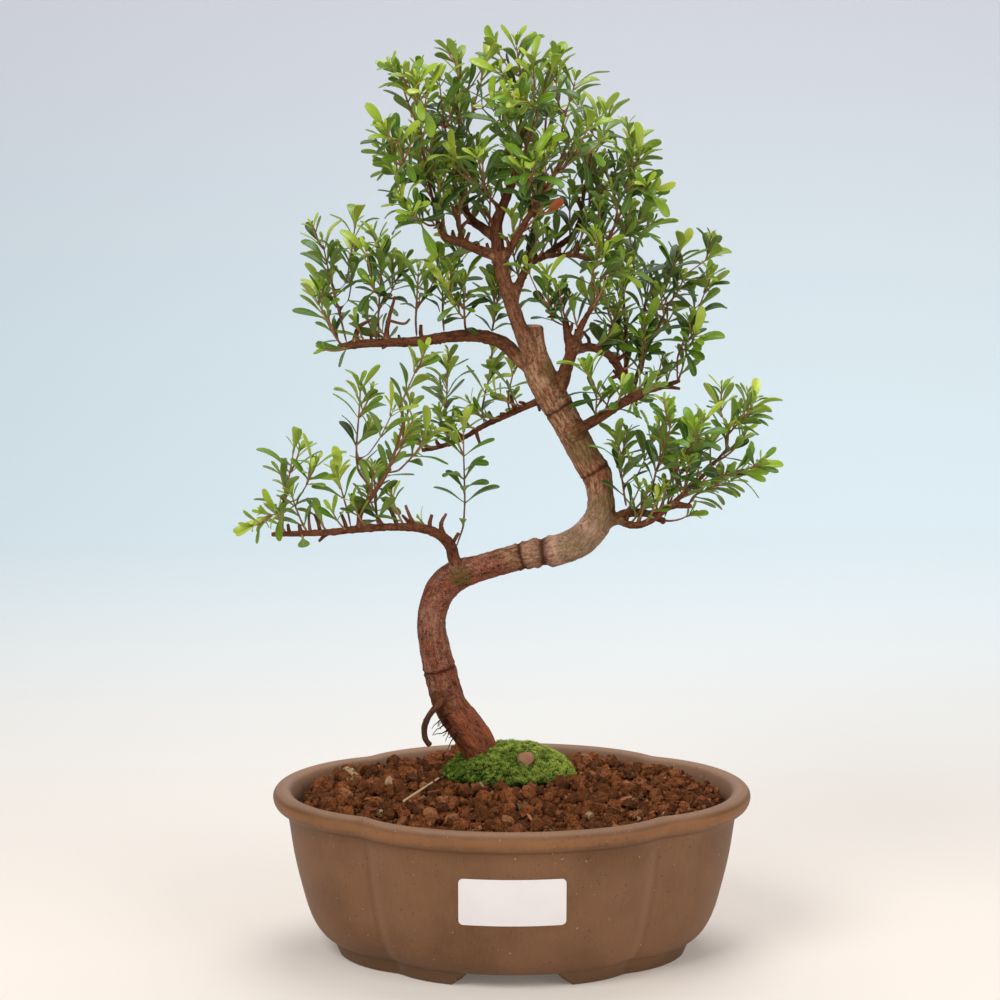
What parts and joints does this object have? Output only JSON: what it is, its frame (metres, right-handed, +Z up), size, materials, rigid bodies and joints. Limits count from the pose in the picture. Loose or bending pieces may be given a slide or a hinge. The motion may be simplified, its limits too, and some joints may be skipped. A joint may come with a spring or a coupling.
{
  "type": "potted bonsai tree",
  "caption": "Small evergreen bonsai with a twisting trunk and upright leafy shoots, growing in a low four-lobed footed stoneware pot.",
  "frame": {"origin": "middle of the underside of the whole object's bounding box, on the surface that the pot's feet stand on", "axes": "+Z up along the tree; -Y is the front, where the label is; the pot's long way is along X"},
  "size_m": [0.2214, 0.1496, 0.3846],
  "materials": {
    "stoneware": "matte brown unglazed stoneware, ochre on the rim",
    "soil": "rough red-brown clay granules",
    "moss": "soft bright green moss",
    "pebble": "dull pinkish-brown stone",
    "bark": "rough flaky red-brown bark",
    "label": "smooth white paper, blank",
    "leaf": "semi-gloss green leaves on brown and green young stems"
  },
  "bodies": {
    "root": {"pot": "stoneware", "soil": "soil", "moss": "moss", "pebble": "pebble", "trunk": "bark", "label": "label", "spray_01": "leaf", "spray_02": "leaf", "spray_03": "leaf", "spray_04": "leaf", "spray_05": "leaf", "spray_06": "leaf", "spray_07": "leaf", "spray_08": "leaf", "spray_09": "leaf", "spray_10": "leaf", "spray_11": "leaf", "spray_12": "leaf", "spray_13": "leaf", "spray_14": "leaf", "spray_15": "leaf", "spray_16": "leaf", "spray_17": "leaf", "spray_18": "leaf", "spray_19": "leaf", "spray_20": "leaf", "spray_21": "leaf", "spray_22": "leaf", "spray_23": "leaf", "spray_24": "leaf", "spray_25": "leaf", "spray_26": "leaf", "spray_27": "leaf", "spray_28": "leaf", "spray_29": "leaf", "spray_30": "leaf", "spray_31": "leaf", "spray_32": "leaf", "spray_33": "leaf", "spray_34": "leaf", "spray_35": "leaf", "spray_36": "leaf", "spray_37": "leaf", "spray_38": "leaf", "spray_39": "leaf", "spray_40": "leaf", "spray_41": "leaf", "spray_42": "leaf", "spray_43": "leaf", "spray_44": "leaf", "spray_45": "leaf", "spray_46": "leaf", "spray_47": "leaf", "spray_48": "leaf", "spray_49": "leaf", "spray_50": "leaf", "spray_51": "leaf", "spray_52": "leaf", "spray_53": "leaf", "spray_54": "leaf"}
  },
  "joints": []
}
